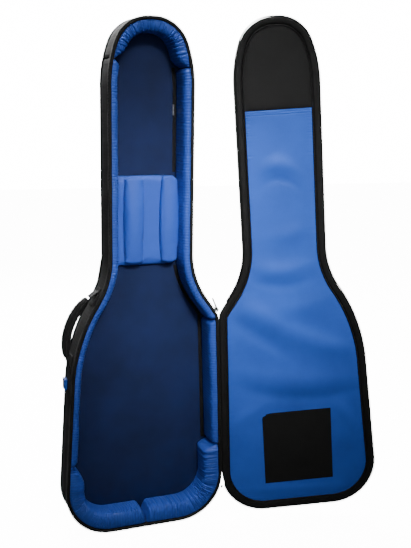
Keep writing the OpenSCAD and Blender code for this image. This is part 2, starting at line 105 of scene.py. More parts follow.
def edgeX(z, inset):
    # left and right edge of the inset outline at each height
    q = pathP + inset * pathN
    right, left = q[:topIndex], q[topIndex:][::-1]
    return np.interp(z, left[:, 1], left[:, 0]), np.interp(z, right[:, 1], right[:, 0])


def smoothNoise(t, step, seed):
    # random values every step along t, joined by a smooth curve, between -1 and 1
    r = np.random.default_rng(seed)
    knots = np.arange(np.min(t) - 2 * step, np.max(t) + 3 * step, step)
    k = (t - knots[0]) / step
    i = np.clip(k.astype(int), 0, len(knots) - 2)
    f = k - i
    values = r.uniform(-1, 1, len(knots))
    f = f * f * (3 - 2 * f)
    return values[i] * (1 - f) + values[i + 1] * f


def rounded(profile, times):
    # a closed polygon whose corners are cut a few times, so that it becomes a soft curve
    q = np.array(profile, float)
    for _ in range(times):
        n = np.roll(q, -1, 0)
        q = np.stack([.75 * q + .25 * n, .25 * q + .75 * n], 1).reshape(-1, 2)
    return q


# meshes

def meshFromGrid(name, verts, faces, uv=None):
    # one smooth mesh from arrays of points and faces, its normals turned outwards
    me = bpy.data.meshes.new(name)
    faceList = faces.tolist() if isinstance(faces, np.ndarray) else faces
    me.from_pydata(verts.reshape(-1, 3).tolist(), [], faceList)
    bm = bmesh.new()
    bm.from_mesh(me)
    bmesh.ops.recalc_face_normals(bm, faces=bm.faces)
    bm.to_mesh(me)
    bm.free()
    if uv is not None:
        layer = me.uv_layers.new(name="UVMap")
        corner = np.empty(len(me.loops), np.int32)
        me.loops.foreach_get("vertex_index", corner)
        layer.data.foreach_set("uv", uv[corner].astype(np.float32).ravel())
    me.polygons.foreach_set("use_smooth", np.ones(len(me.polygons), bool))
    ob = bpy.data.objects.new(name, me)
    bpy.context.scene.collection.objects.link(ob)
    return ob


def gridQuads(rows, cols, closeRows=False, closeCols=False):
    # each point joined to the next in its row, and to both in the next row, by their indices
    i = np.arange(rows if closeRows else rows - 1)
    j = np.arange(cols if closeCols else cols - 1)
    a, b = np.meshgrid(i, j, indexing="ij")
    a2, b2 = (a + 1) % rows, (b + 1) % cols
    return np.stack([a * cols + b, a2 * cols + b, a2 * cols + b2, a * cols + b2], -1).reshape(-1, 4)


def capped(rows, cols):
    # the quads of a tube of rows rings, closed by one face at each end
    last = (rows - 1) * cols
    return gridQuads(rows, cols, closeCols=True).tolist() + [list(range(cols)),
                                                             list(range(last + cols - 1, last - 1, -1))]


def sweep(name, s0, s1, section, stations, finish=None, place=None):
    # A closed section carried along the outline. section(k, s) gives inset and depth for every
    # station and every point round the section; k runs 0 to 1 and s is the distance walked.
    ring = abs(s1 - s0) >= perimeter - 1e-6
    k = np.linspace(0, 1, stations, endpoint=not ring)
    s = s0 + (s1 - s0) * k
    w = np.mod(s, perimeter)
    p = np.stack([np.interp(w, pathS, pathP[:, i]) for i in (0, 1)], 1)
    n = np.stack([np.interp(w, pathS, pathN[:, i]) for i in (0, 1)], 1)
    d, y = section(k[:, None], s[:, None])
    d, y = np.broadcast_arrays(d, y)
    cols = d.shape[1]
    verts = np.stack([p[:, None, 0] + n[:, None, 0] * d, y, p[:, None, 1] + n[:, None, 1] * d], -1)
    if place:
        verts = place(verts)
    faces = gridQuads(stations, cols, closeRows=True, closeCols=True) if ring else capped(stations, cols)
    round_ = np.r_[0, np.cumsum(np.hypot(np.diff(d[0]), np.diff(y[0])))]
    uv = np.stack(np.broadcast_arrays(s[:, None], round_[None, :]), -1).reshape(-1, 2)
    ob = meshFromGrid(name, verts, faces, uv)
    if finish:
        ob.data.materials.append(finish)
    return ob


def distanceToEdge(x, z, inset):
    # the least distance from each point to the points of the inset outline
    q = pathP[::6] + inset * pathN[::6]
    out = np.full(x.shape, 9.)
    for i in range(0, len(q), 100):
        part = q[i:i + 100]
        out = np.minimum(out, np.hypot(x[..., None] - part[:, 0], z[..., None] - part[:, 1]).min(-1))
    return out


def panel(name, inset, zLow, zHigh, face, yBack, rows, cols, finish=None, place=None, xLimit=None):
    # A closed panel cut to the outline: a grid whose rows run between the two edges at each
    # height, packed closer near the edges. face(x, z, edge) gives the depth of the shown side,
    # edge being the distance to the nearest edge; the other side is flat at yBack.
    q = pathP + inset * pathN
    zLow, zHigh = max(zLow, q[:, 1].min()), min(zHigh, q[:, 1].max())
    t = np.linspace(0, 1, rows)
    z = zLow + (zHigh - zLow) * (t - np.sin(2 * np.pi * t) * .9 / (2 * np.pi))
    left, right = edgeX(z, inset)
    if xLimit:
        left, right = np.maximum(left, xLimit[0]), np.minimum(right, xLimit[1])
    u = np.linspace(0, 1, cols)
    u = u - np.sin(2 * np.pi * u) * .85 / (2 * np.pi)
    x = left[:, None] + (right - left)[:, None] * u[None, :]
    zz = np.broadcast_to(z[:, None], x.shape)
    edge = np.minimum(distanceToEdge(x, zz, inset), np.minimum(zz - zLow, zHigh - zz))
    if xLimit:
        edge = np.minimum(edge, np.minimum(x - xLimit[0], xLimit[1] - x))
    edge = np.maximum(edge, 0)
    front = np.stack([x, face(x, zz, edge), zz], -1)
    back = np.stack([x, np.full(x.shape, yBack), zz], -1)
    if place:
        front, back = place(front), place(back)
    f = gridQuads(rows, cols)
    n = rows * cols
    idx = np.arange(n).reshape(rows, cols)
    loop = np.r_[idx[0, :-1], idx[:-1, -1], idx[-1, :0:-1], idx[:0:-1, 0]]
    nxt = np.roll(loop, -1)
    sides = np.stack([loop, nxt, nxt + n, loop + n], -1)
    verts = np.vstack([front.reshape(-1, 3), back.reshape(-1, 3)])
    uv = np.tile(np.stack([x, zz], -1).reshape(-1, 2), (2, 1))
    ob = meshFromGrid(name, verts, np.vstack([f, f[:, ::-1] + n, sides]), uv)
    if finish:
        ob.data.materials.append(finish)
    return ob


def quarterRound(edge, r):
    # how far a face drops back near an edge rounded with radius r
    inside = np.clip(r - edge, 0, r)
    return r - np.sqrt(np.maximum(r * r - inside * inside, 0))


def softBox(name, lo, hi, radius, puff, cuts=22, finish=None):
    # A cube's grid pushed onto a box with round edges, then out along its normals by puff times
    # the product of 1 - |v| ** 2.4 over the three directions, so it swells between its edges
    bm = bmesh.new()
    bmesh.ops.create_cube(bm, size=2)
    bmesh.ops.subdivide_edges(bm, edges=bm.edges, cuts=cuts, use_grid_fill=True)
    me = bpy.data.meshes.new(name)
    bm.to_mesh(me)
    bm.free()
    v = np.empty(len(me.vertices) * 3)
    me.vertices.foreach_get("co", v)
    v = v.reshape(-1, 3)
    lo, hi = np.array(lo), np.array(hi)
    half, mid = (hi - lo) / 2, (hi + lo) / 2
    core = np.clip(v * half, -(half - radius), half - radius)
    out = v * half - core
    out /= np.maximum(np.linalg.norm(out, axis=1), 1e-9)[:, None]
    swell = puff * np.prod(1 - np.abs(v) ** 2.4 * (np.abs(v) < .999), axis=1)
    v = mid + core + out * (radius + swell[:, None])
    me.vertices.foreach_set("co", v.ravel())
    me.polygons.foreach_set("use_smooth", np.ones(len(me.polygons), bool))
    me.update()
    ob = bpy.data.objects.new(name, me)
    bpy.context.scene.collection.objects.link(ob)
    if finish:
        me.materials.append(finish)
    return ob


def inflate(ob, voxel, pressure, cap):
    # The pad is remeshed, blown up as cloth for twenty frames, and each point's move is capped
    scene = bpy.context.scene
    bpy.context.view_layer.objects.active = ob
    re = ob.modifiers.new("Remesh", "REMESH")
    re.mode, re.voxel_size = "VOXEL", voxel
    bpy.ops.object.modifier_apply(modifier=re.name)
    before = np.empty(len(ob.data.vertices) * 3)
    ob.data.vertices.foreach_get("co", before)
    cloth = ob.modifiers.new("Cloth", "CLOTH")
    cloth.settings.use_pressure = True
    cloth.settings.uniform_pressure_force = pressure
    cloth.settings.effector_weights.gravity = 0
    cloth.point_cache.frame_start, cloth.point_cache.frame_end = 1, 20
    for f in range(1, 21):
        scene.frame_set(f)
    shape = ob.evaluated_get(bpy.context.evaluated_depsgraph_get()).data
    after = np.empty_like(before)
    shape.vertices.foreach_get("co", after)
    move = (after - before).reshape(-1, 3)
    size = np.linalg.norm(move, axis=1)[:, None]
    move *= np.minimum(1, cap / np.maximum(size, 1e-9))
    ob.modifiers.remove(cloth)
    ob.data.vertices.foreach_set("co", before + move.ravel())
    scene.frame_set(1)
    ob.data.update()
    sub = ob.modifiers.new("Subdivision", "SUBSURF")
    sub.levels = sub.render_levels = 1
    ob.data.polygons.foreach_set("use_smooth", np.ones(len(ob.data.polygons), bool))
    return ob


def swungOpen(v):
    # turns points of the shut lid about the hinge line to where the open lid is
    angle = -math.radians(lidHinge["range_deg"][1])     # the open lid is this far from shut
    turn = np.array(Matrix.Rotation(angle, 3, Vector(lidHinge["axis"])))
    foot = np.array(lidHinge["pos_m"])
    return (v - foot) @ turn.T + foot


# materials

class Nodes:
    # one material, its shader and short ways to add to it
    def __init__(self, name, rough, metal=0., spec=.5, sheen=0., sheenRough=.5):
        self.m = bpy.data.materials.new(name)
        self.m.use_nodes = True
        self.t = self.m.node_tree
        self.p = self.t.nodes["Principled BSDF"]
        self.p.inputs["Roughness"].default_value = rough
        self.p.inputs["Metallic"].default_value = metal
        self.p.inputs["Specular IOR Level"].default_value = spec
        self.p.inputs["Sheen Weight"].default_value = sheen
        self.p.inputs["Sheen Roughness"].default_value = sheenRough
        self.coord = self.t.nodes.new("ShaderNodeTexCoord")

    def add(self, kind, **inputs):
        n = self.t.nodes.new(kind)
        for k, v in inputs.items():
            key = k.replace("_", " ")
            if hasattr(v, "is_output"):
                self.t.links.new(v, n.inputs[key])
            else:
                n.inputs[key].default_value = v
        return n

    def noise(self, scale, detail=3., rough=.55, where="Object"):
        return self.add("ShaderNodeTexNoise", Vector=self.coord.outputs[where], Scale=scale,
                        Detail=detail, Roughness=rough).outputs["Fac"]

    def wave(self, axis, scale, distort=0., where="Object", detail=1.):
        n = self.add("ShaderNodeTexWave", Vector=self.coord.outputs[where], Scale=scale,
                     Distortion=distort, Detail=detail)
        n.bands_direction = axis
        return n.outputs["Fac"]

    def maths(self, op, a, b):
        n = self.t.nodes.new("ShaderNodeMath")
        n.operation = op
        for i, v in enumerate((a, b)):
            if hasattr(v, "is_output"):
                self.t.links.new(v, n.inputs[i])
            else:
                n.inputs[i].default_value = v
        return n.outputs[0]

    def colour(self, fac, stops):
        r = self.t.nodes.new("ShaderNodeValToRGB")
        self.t.links.new(fac, r.inputs[0])
        ramp = r.color_ramp
        while len(ramp.elements) < len(stops):
            ramp.elements.new(.5)
        for e, (at, c) in zip(ramp.elements, stops):
            e.position, e.color = at, (*c, 1)
        self.t.links.new(r.outputs[0], self.p.inputs["Base Color"])

    def bump(self, height, strength, distance):
        b = self.add("ShaderNodeBump", Height=height, Strength=strength, Distance=distance)
        if self.p.inputs["Normal"].links:
            self.t.links.new(self.p.inputs["Normal"].links[0].from_socket, b.inputs["Normal"])
        self.t.links.new(b.outputs[0], self.p.inputs["Normal"])


def wovenBlack(name, tone, pitch, rough=.72, warm=1.0, bump=.5):
    # crossed threads of a coarse nylon, with lint-grey patches
    m = Nodes(name, rough, spec=.22, sheen=.03)
    patches = m.noise(9, 4)
    grain = m.noise(900, 2)
    mix = m.maths("ADD", m.maths("MULTIPLY", patches, .55), m.maths("MULTIPLY", grain, .45))
    dark = tuple(tone * w * .72 for w in (warm, 1, 1))
    light = tuple(tone * w * 1.5 for w in (warm, 1, 1))
    m.colour(mix, [(.32, dark), (.72, light)])
    threads = m.maths("ADD", m.wave("X", 1 / pitch / 20), m.wave("Z", 1 / pitch / 20))
    threads = m.maths("ADD", threads, m.wave("Y", 1 / pitch / 20))
    m.bump(threads, bump, pitch * .35)
    m.bump(m.noise(60, 3), .12, .002)
    return m.m


def blueCloth(name, deep, mid, light, rough, sheen, grain, where="Object", ribs=None):
    # short blue pile or satin: broad tone drift, fine grain and, on bolsters, stitch ribs
    m = Nodes(name, rough, spec=.28, sheen=sheen, sheenRough=.35)
    drift = m.noise(7, 3)
    fine = m.noise(grain, 2)
    mix = m.maths("ADD", m.maths("MULTIPLY", drift, .6), m.maths("MULTIPLY", fine, .4))
    if ribs:        # rows of fine stitching across the bolster
        rows = m.wave("X", ribs, 3.5, "UV", 2.)
        stitches = m.maths("MULTIPLY", m.maths("POWER", rows, .5), .16)
        mix = m.maths("ADD", m.maths("MULTIPLY", mix, .8), stitches)
        m.bump(rows, .6, .0012)
    m.colour(mix, [(.3, deep), (.5, mid), (.74, light)])
    m.bump(fine, .22, .0006)
    return m.m


nylon = wovenBlack("shell nylon", .0085, .0011)
bandCloth = wovenBlack("frame band cloth", .0055, .0009, rough=.6)
bindingTape = wovenBlack("binding tape", .006, .0008, rough=.66)
headPadCloth = wovenBlack("head pad cloth", .0062, .0007, rough=.62)
scuffVinyl = wovenBlack("scuff patch vinyl", .006, .0006, rough=.8, bump=.25)
strapMesh = wovenBlack("strap mesh", .015, .0024, rough=.85, bump=.9)
webbing = wovenBlack("webbing", .013, .0016, rough=.6, bump=.9)
velour = blueCloth("lining velour", (.020, .080, .42), (.026, .104, .54), (.033, .128, .65), .6, .02, 1400)
satin = blueCloth("bolster satin", (.022, .062, .33), (.029, .084, .44), (.036, .108, .55), .48, .03, 900,
                  ribs=46)
plush = blueCloth("neck rest plush", (.026, .078, .42), (.034, .100, .53), (.042, .120, .63), .5, .04, 1200)
# the floor's blue lining is made many times darker than the other blue cloth, as painted shade for the dim
# floor between the tray's walls
floorPaintedShadeCloth = blueCloth("floor lining with painted shade", (.004, .011, .050), (.006, .017, .078), (.008, .023, .108), .7, .01,
                       1300)

coil = Nodes("zip coil", .45)
coil.colour(coil.noise(300), [(.3, (.008, .008, .008)), (.7, (.016, .016, .017))])
rubber = Nodes("base rubber", .8)
rubber.colour(rubber.noise(140), [(.3, (.010, .010, .010)), (.7, (.020, .020, .020))])
rubber.bump(rubber.noise(500), .3, .0006)
gunmetal = Nodes("gunmetal", .34, metal=.9)
gunmetal.colour(gunmetal.noise(220), [(.3, (.085, .09, .098)), (.7, (.15, .155, .165))])
gunmetal.bump(gunmetal.noise(700), .1, .0003)
darkMetal = Nodes("blackened metal", .4, metal=.7)
darkMetal.colour(darkMetal.noise(220), [(.3, (.010, .010, .011)), (.7, (.022, .022, .024))])
darkMetal.bump(darkMetal.noise(700), .1, .0003)
plastic = Nodes("buckle plastic", .38)
plastic.colour(plastic.noise(160), [(.3, (.011, .011, .012)), (.7, (.018, .018, .019))])
plastic.bump(plastic.noise(900), .12, .0003)
labelCloth = Nodes("label satin", .5, sheen=.2)
labelCloth.colour(labelCloth.noise(300), [(.3, (.62, .63, .66)), (.7, (.78, .79, .82))])
labelCloth.bump(labelCloth.wave("Z", 90), .2, .0003)
print("materials done")

# camera, light and stage

view = {"target": (.13717, -.042, .64857), "distance": 2.02818, "yaw": 21.121, "pitch": 11.175,
        "roll": .903, "lens": 54.21}
yaw, pitch = math.radians(view["yaw"]), math.radians(view["pitch"])
back = Vector((-math.sin(yaw) * math.cos(pitch), -math.cos(yaw) * math.cos(pitch), math.sin(pitch)))
cam = bpy.data.objects.new("camera", bpy.data.cameras.new("camera"))
turn = back.to_track_quat("Z", "Y").to_matrix() @ Matrix.Rotation(math.radians(view["roll"]), 3, "Z")
cam.matrix_world = Matrix.LocRotScale(Vector(view["target"]) + back * view["distance"], turn, None)
cam.data.sensor_width = 36
cam.data.lens = view["lens"]
bpy.context.scene.collection.objects.link(cam)
bpy.context.scene.camera = cam

lamps = {
    "key": {"at": (.0, -1.9, 2.0), "aim": (.17, 0, .70), "size": .5, "power": 2.5, "spread": 28},
    "top": {"at": (.0, -.35, 2.9), "aim": (.05, 0, .9), "size": .6, "power": 5.0, "spread": 60},
    "front": {"at": (-.5, -3.0, 1.2), "aim": (.05, 0, .5), "size": 1.8, "power": 3.6, "spread": 120},
    "rear": {"at": (.4, 2.8, 2.4), "aim": (.1, 0, .7), "size": 2.2, "power": 150, "spread": 150},
}
for name, l in lamps.items():
    lamp = bpy.data.lights.new(name, "AREA")
    lamp.energy, lamp.size, lamp.spread = l["power"], l["size"], math.radians(l["spread"])
    ob = bpy.data.objects.new(name, lamp)
    ob.location = l["at"]
    ob.rotation_euler = (Vector(l["at"]) - Vector(l["aim"])).to_track_quat("Z", "Y").to_euler()
    bpy.context.scene.collection.objects.link(ob)
world = bpy.data.worlds.new("studio")
world.use_nodes = True
world.node_tree.nodes["Background"].inputs["Color"].default_value = (.95, .97, 1, 1)
world.node_tree.nodes["Background"].inputs["Strength"].default_value = .10
bpy.context.scene.world = world


def stagePaper(name, verts, faces, glow):
    # white paper with its own glow, which lights nothing else
    me = bpy.data.meshes.new(name)
    me.from_pydata(verts, [], faces)
    ob = bpy.data.objects.new(name, me)
    bpy.context.scene.collection.objects.link(ob)
    paper = Nodes(name, .9, spec=.1)
    paper.colour(paper.noise(3), [(.3, (.86, .86, .86)), (.7, (.9, .9, .9))])
    paper.p.inputs["Emission Color"].default_value = (1, 1, 1, 1)
    paper.p.inputs["Emission Strength"].default_value = glow
    me.materials.append(paper.m)
    ob.visible_diffuse = ob.visible_glossy = ob.visible_shadow = False
    return ob


dome = [(x, y, z) for x in (-9, 9) for y in (-9, 9) for z in (-4, 9)]
stagePaper("backdrop", dome, [(0, 1, 3, 2), (4, 6, 7, 5), (0, 4, 5, 1), (2, 3, 7, 6), (1, 5, 7, 3)], 16)
stagePaper("floor", [(-9, -9, 0), (9, -9, 0), (9, 9, 0), (-9, 9, 0)], [(0, 1, 2, 3)], 14)
print("stage done")

# tray shell

gussets = {     # each sewn length of the side wall, from one height to another
    "gusset_base": (along(-1, .115) - perimeter, along(1, .115)),
    "gusset_hinge_side": (along(1, .115), along(1, .528)),
    "gusset_treble_side": (along(1, .528), along(1, 1.142)),
    "gusset_head": (along(1, 1.142), along(-1, 1.157)),
    "gusset_bass_side": (along(-1, 1.157), along(-1, .115)),
}
gussetLook = {"bulge": .0016, "seamDip": .0012, "seamWidth": .004}


def gussetSection(k, s, length):
    # outer face slightly padded, drawn in at the two sewn ends
    y = np.array([rimY + .001, rimY + .012, rimY + .03, rimY + .05, rimY + .066, backY - .009,
                  backY - .009, rimY + .04, rimY + .001])
    d = np.array([0, -.6, -1, -1, -.6, 0, 3.6, 3.6, 3.6]) * gussetLook["bulge"]
    near = np.minimum(k, 1 - k) * length / gussetLook["seamWidth"]
    dip = gussetLook["seamDip"] * np.exp(-near ** 2)
    drift = .0007 * smoothNoise(s, .045, 3) + .0003 * smoothNoise(s, .012, 4)
    outer = (d <= 0)
    return d + (dip + drift) * outer, y + 0 * k


for name, (a, b) in gussets.items():
    piece = sweep(name + "_cloth", a, b, lambda k, s, n=b - a: gussetSection(k, s, n),
                  max(int((b - a) / .006), 30), nylon)
    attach(piece, "tray")
    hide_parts(name)

backLook = {"round": .006, "crown": .003, "ripple": .0008}


def backFace(x, z, edge):
    # round at the edge, crowned towards the middle, with long shallow ripples
    ripple = backLook["ripple"] * np.sin(x * 31 + 2 * np.sin(z * 9)) * np.sin(z * 17)
    crown = backLook["crown"] * (1 - np.exp(-edge / .04))
    return backY - quarterRound(edge, backLook["round"]) + crown + ripple


backCloth = panel("back_panel_cloth", 0, 0, 9, backFace, backY - .0085, 150, 60, nylon)
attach(backCloth, "tray")
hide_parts("back_panel")


def bead(radius, d, y, points=10):
    # inset and depth round a circle
    a = np.linspace(0, 2 * np.pi, points, endpoint=False)
    return d + radius * np.cos(a), y + radius * np.sin(a)


backPiping = sweep("back_piping", 0, perimeter,
                   lambda k, s: [c + 0 * k for c in bead(.0024, -.0004, backY - .008)], 460, bindingTape)
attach(backPiping, "tray")

rimProfile = rounded([(-.0008, rimY + .004), (-.0008, rimY + .0002), (.0062, rimY), (.0066, rimY + .004)], 2)
rimTape = sweep("rim_binding_tape", 0, perimeter,
                lambda k, s: (rimProfile[:, 0] + 0 * k, rimProfile[:, 1] + 0 * k), 500, bindingTape)
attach(rimTape, "tray")
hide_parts("rim_binding")

# zip tapes and chains, on the tray and on the lid

zipFrom = {"tray": along(1, .548), "lid": along(1, .572)}
zipLook = {"pitch": .0032, "tooth": (.0023, .0026, .0022)}


def zipChain(name, y, start, stop, place=None):
    # one small tapered tooth per pitch, all in one mesh, seated across the edge of the tape
    count = int((stop - start) / zipLook["pitch"])
    s = np.mod(start + (np.arange(count) + .5) * zipLook["pitch"], perimeter)
    p = np.stack([np.interp(s, pathS, pathP[:, i]) for i in (0, 1)], 1)
    n = np.stack([np.interp(s, pathS, pathN[:, i]) for i in (0, 1)], 1)
    t = np.stack([n[:, 1], -n[:, 0]], 1)
    w, h, l = zipLook["tooth"]
    cube = np.array([(i, j, k) for i in (0, 1) for j in (-1, 1) for k in (-1, 1)], float)
    taper = np.where(cube[:, 1] < 0, .62, 1)
    out = -(cube[:, 0] * w) - .0006
    side = cube[:, 2] * l / 2 * .5 * taper
    deep = cube[:, 1] * h / 2
    xz = p[:, None] + n[:, None] * out[None, :, None] + t[:, None] * side[None, :, None]
    verts = np.stack([xz[..., 0], np.broadcast_to(y + deep, xz.shape[:2]), xz[..., 1]], -1)
    if place:
        verts = place(verts)
    q = np.array([(0, 1, 3, 2), (4, 6, 7, 5), (0, 4, 5, 1), (2, 3, 7, 6), (0, 2, 6, 4), (1, 5, 7, 3)])
    faces = (q[None] + 8 * np.arange(count)[:, None, None]).reshape(-1, 4)
    ob = meshFromGrid(name, verts, faces)
    ob.data.polygons.foreach_set("use_smooth", np.zeros(len(ob.data.polygons), bool))
    ob.data.materials.append(coil.m)
    return ob


def tapeSection(y0, y1, out):
    # a flat tape laid over the edge, from depth y0 to y1
    q = np.array([(-out, y0), (-out, y1), (out * .2, y1), (out * .2, y0)])
    return lambda k, s: (q[:, 0] + 0 * k, q[:, 1] + 0 * k)


zipEnd = perimeter + along(1, .080)
for where, place, y, tapeY in (("tray", None, rimY + .0015, (rimY + .002, rimY + .015)),
                               ("lid", swungOpen, rimY - .0023, (rimY - .0158, rimY - .003))):
    chain = zipChain(where + "_zip_teeth", y, zipFrom[where], zipEnd, place)
    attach(chain, where)
    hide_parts(where + "_zip_chain", *(["lid_zip_foot"] if where == "lid" else []))
    tape = sweep(where + "_zip_cloth", zipFrom[where], zipEnd, tapeSection(*tapeY, .0011), 460,
                 bindingTape, place)
    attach(tape, where)
    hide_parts(where + "_zip_tape")
print("tray shell done")

# floor, bolsters, neck rest

floorLook = {"crown": .003, "fold": .0012}


def floorFace(x, z, edge):
    # crowned inside its edge, less two crossing waves as soft folds
    soft = floorLook["crown"] * (1 - np.exp(-edge / .05))
    folds = floorLook["fold"] * np.sin(z * 23 + 3 * np.sin(x * 14)) * np.sin(x * 19 + z * 5)
    return floorY + .002 - soft - folds


# its cloth is darkened with painted shade
floorPad = panel("floor_lining", bag["wall"], 0, 9, floorFace, backY - .008, 170, 60, floorPaintedShadeCloth)
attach(floorPad, "tray")
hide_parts("floor_pad")

# thickness, gather spacing and depth, quilting depth, length of each pointed end, start and end
bolsters = {
    "bolster_head": dict(thick=.026, gather=.0105, depth=.0042, quilt=.0003, ends=(.030, .040),
                         span=(along(1, 1.142), along(-1, 1.157))),
    "bolster_bass_side": dict(thick=.017, gather=.006, depth=.0006, quilt=.0007, ends=(.016, .016),
                              span=(along(-1, 1.157), along(-1, .184))),
    "bolster_treble_upper": dict(thick=.017, gather=.03, depth=.0004, quilt=.0001, ends=(.016, .010),
                                 span=(along(1, .528), along(1, 1.142))),
    "bolster_treble_lower": dict(thick=.017, gather=.03, depth=.0004, quilt=.0001, ends=(.010, .010),
                                 span=(along(1, .196), along(1, .528))),
    "bolster_base_left": dict(thick=.038, gather=.019, depth=.0016, quilt=.0007, ends=(.052, .016),
                              span=(along(-1, .184), perimeter)),
    "bolster_base_right": dict(thick=.038, gather=.0145, depth=.0050, quilt=.0006, ends=(.016, .016),
                               span=(0, along(1, .196))),
}


def bolsterSection(k, s, b, length, seed):
    # A stuffed D: sewn at the rim, full on its inner side, narrowing to a point at both ends.
    # Gathers are ridges of uneven spacing and size, deepest where the face turns inwards.
    top, foot, t = rimY + .0004, floorY + .0005, b["thick"]
    shape = rounded([(.02, foot), (.0, top + .004), (.12, top + .0008), (.66, top + .0012), (1.0, top + .008),
                     (1.06, top + .026), (1.02, foot - .012), (.94, foot)], 3)
    frac, y = shape[:, 0][None, :], shape[:, 1][None, :]
    open_ = np.clip(np.minimum(k * length / b["ends"][0], (1 - k) * length / b["ends"][1]), 0, 1)
    width = t * (.14 + .86 * np.sin(np.pi / 2 * open_) ** .8)
    away = np.clip((foot - y) / .05, 0, 1)
    inner = np.clip(frac * 1.1, 0, 1) ** .7 * away
    one = s[:, 0]
    lean = .35 * (frac - .5) * smoothNoise(one, .05, seed + 5)[:, None]
    phase = s / b["gather"] + .8 * smoothNoise(one, b["gather"] * 2.5, seed)[:, None] + lean
    size = .45 + .55 * np.abs(smoothNoise(one, .028, seed + 1))[:, None] * 1.4
    ridges = (np.abs(np.sin(np.pi * phase)) ** .75 - .85) * b["depth"] * size
    quilt = b["quilt"] * np.sin(2 * np.pi * s / .0064 + 1.2 * smoothNoise(one, .01, seed + 2)[:, None])
    swell = .0012 * smoothNoise(one, .07, seed + 3)[:, None]
    d = bag["wall"] + frac * width + (ridges + quilt + swell) * inner * (.3 + .7 * open_)
    lower = .008 * (1 - open_) ** 2
    yy = y + lower * (foot - y) / (foot - top) - (np.minimum(ridges, 0) * .9 + quilt * .8) \
        * np.clip(frac * 2.2 - .1, 0, 1) * away
    return d, np.maximum(yy, top)


for i, (name, b) in enumerate(bolsters.items()):
    a, c = b["span"]
    piece = sweep(name + "_stuffed", a + .0008, c - .0008,
                  lambda k, s, b=b, n=c - a, i=i: bolsterSection(k, s, b, n, 10 * i + 20),
                  int((c - a) / .0016), satin)
    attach(piece, "tray")
    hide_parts(name)
print("bolsters done")

for name, swell in (("neck_rest_base", .001), ("neck_rest_left_pad", .006), ("neck_rest_right_pad", .006)):
    lo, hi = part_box(name)
    pad = softBox(name + "_stuffed", np.array(lo) + .0015, np.array(hi) - .0015, .0065, swell, finish=plush)
    inflate(pad, .005, 4, .004)
    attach(pad, "tray")
    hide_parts(name)
print("neck rest done")

# lid

lidIn = rimY - .0008      # inner face of the shut lid
skin = .004               # thickness of the lining and of the frame band
lidThick = .020
lidOut = lidIn - lidThick
band = {"outer": .0016, "inner": .019, "crown": .0012}

folds = [   # soft folds of the lining: centre x, z, half length, half width, slant, bow, height
    (.008, .905, .046, .020, .04, -7, .0050), (.008, .868, .040, .010, .04, -9, -.0018),
    (-.025, .735, .050, .022, -.30, 2, .0030), (.020, .640, .085, .022, .10, 3, .0052),
    (.020, .602, .080, .012, .10, 3, -.0020), (-.050, .545, .10, .030, -.25, 2, .0040),
    (.060, .520, .11, .026, .62, 0, .0060), (.088, .482, .085, .015, .62, 0, -.0022),
    (-.095, .440, .09, .024, .35, 2, .0046), (-.020, .345, .17, .032, .12, 1, .0050),
    (-.010, .305, .15, .015, .12, 1, -.0018), (.110, .270, .08, .022, -.50, 0, .0040),
    (-.140, .250, .05, .018, .9, 0, .0034), (.0, .052, .14, .014, .06, 0, .0020),
]


def liningFace(x, z, edge):
    # flat, with each fold a ridge or hollow that follows a bowed line and fades at both ends
    y = np.zeros(x.shape)
    for fx, fz, a, b, slant, bow, h in folds:
        u = (x - fx) * math.cos(slant) + (z - fz) * math.sin(slant)
        v = -(x - fx) * math.sin(slant) + (z - fz) * math.cos(slant) - bow * u * u
        y = y + h * np.exp(-(u / a) ** 2 - (v / b) ** 2)
    y = np.where(y < 0, .0020 * np.tanh(y / .0020), y) * (1 - np.exp(-edge / .022))
    slits = np.exp(-((z * 21 % 1 - .5) / .035) ** 2) * np.exp(-edge / .010)
    pucker = .0007 * np.sin(z * 900 + 2 * np.sin(z * 160)) * np.exp(-edge / .006)
    return lidIn - .0014 + y + pucker - .0009 * np.exp(-edge / .004) - .0010 * slits


lining = panel("lid_lining_cloth", band["inner"] + .003, 0, 1.035, liningFace, lidIn - skin - .0004, 420, 70,
               velour, swungOpen)
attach(lining, "lid")
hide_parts("lid_lining")

headPad = panel("lid_head_pad_cloth", band["inner"] + .003, 1.035, 9,
                lambda x, z, edge: lidIn - .0008 - .0022 * np.exp(-edge / .006)
                + .0003 * np.sin(x * 60) * np.sin(z * 45), lidIn - skin, 90, 50, headPadCloth, swungOpen)
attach(headPad, "lid")
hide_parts("lid_head_pad")

bandProfile = rounded([(band["outer"], lidIn - skin - .001), (band["outer"] - .0006, lidIn - .002),
                       (band["outer"] + .003, lidIn + .0001), (.0095, lidIn),
                       (band["inner"] - .004, lidIn - .0006), (band["inner"] - .001, lidIn - .0028),
                       (band["inner"], lidIn - skin - .001)], 3)


def bandSection(k, s):
    # the rounded profile, its face rising and falling a little as it goes round
    ripple = .0003 * smoothNoise(s[:, 0], .03, 77)[:, None] - .0003
    return bandProfile[:, 0] + 0 * k, bandProfile[:, 1] + ripple


frameBand = sweep("lid_frame_band_cloth", 0, perimeter, bandSection, 620, bandCloth, swungOpen)
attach(frameBand, "lid")
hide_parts("lid_frame_band")

piping = sweep("lid_piping_cord", 0, perimeter, lambda k, s: [c + 0 * k for c in
               bead(.0020, band["inner"] + .0017, lidIn - .0024)], 620, bindingTape, swungOpen)
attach(piping, "lid")
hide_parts("lid_piping")



def shellFace(x, z, edge):
    # round at the edge, crowned outwards, with long shallow ripples
    ripple = .0006 * np.sin(x * 28 + z * 6) * np.sin(z * 15)
    return lidOut + quarterRound(edge, .009) - .0025 * (1 - np.exp(-edge / .05)) + ripple


shell = panel("lid_shell_cloth", band["outer"], 0, 9, shellFace, lidIn - skin, 150, 60, nylon, swungOpen)
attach(shell, "lid")
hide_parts("lid_shell")

